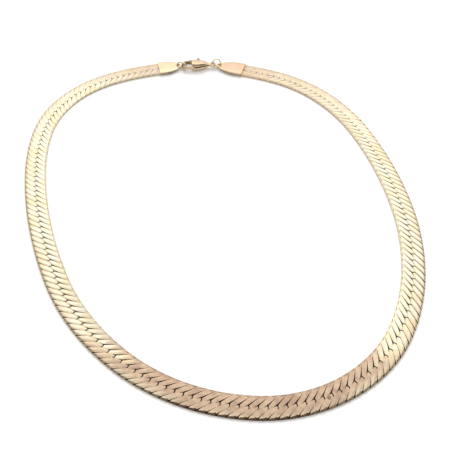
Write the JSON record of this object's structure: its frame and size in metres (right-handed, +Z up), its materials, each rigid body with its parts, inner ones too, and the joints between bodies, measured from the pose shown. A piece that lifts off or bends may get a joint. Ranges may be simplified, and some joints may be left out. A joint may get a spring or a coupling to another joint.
{
  "type": "herringbone chain necklace",
  "caption": "Flat herringbone chain necklace in gold-coloured metal, closed by a lobster clasp between two leaf-shaped end caps.",
  "frame": {"origin": "centre of the bounding box's bottom face: on the surface that the necklace lies on, in the middle of the loop", "axes": "+Z up from the surface, +Y from the front of the necklace to its clasp, +X to the right as seen from the front"},
  "size_m": [0.1366, 0.1657, 0.0038],
  "materials": {
    "chain_gold": "polished flat wire, finely scratched, dark between the links",
    "warm_cap_gold": "polished, warm gold",
    "pale_cap_gold": "polished, pale gold",
    "ring_gold": "polished wire",
    "clasp_gold": "polished, a little worn",
    "lever_gold": "polished, darker and tarnished"
  },
  "bodies": {
    "necklace": {"links_right": "chain_gold", "links_left": "chain_gold", "end_cap_right": "warm_cap_gold", "end_cap_left": "pale_cap_gold", "catch_ring": "ring_gold", "tail_ring": "ring_gold", "claw_body": "clasp_gold", "lever_pin": "clasp_gold"},
    "lever": {"claw_lever": "lever_gold"}
  },
  "joints": [
    {"name": "lever_hinge", "type": "hinge", "parent": "necklace", "child": "lever", "pos_m": [-0.00507, 0.07938, 0.0015], "axis": [0, 0, 1], "range_deg": [0, 12], "stiffness_Nm_per_rad": 0.004}
  ]
}
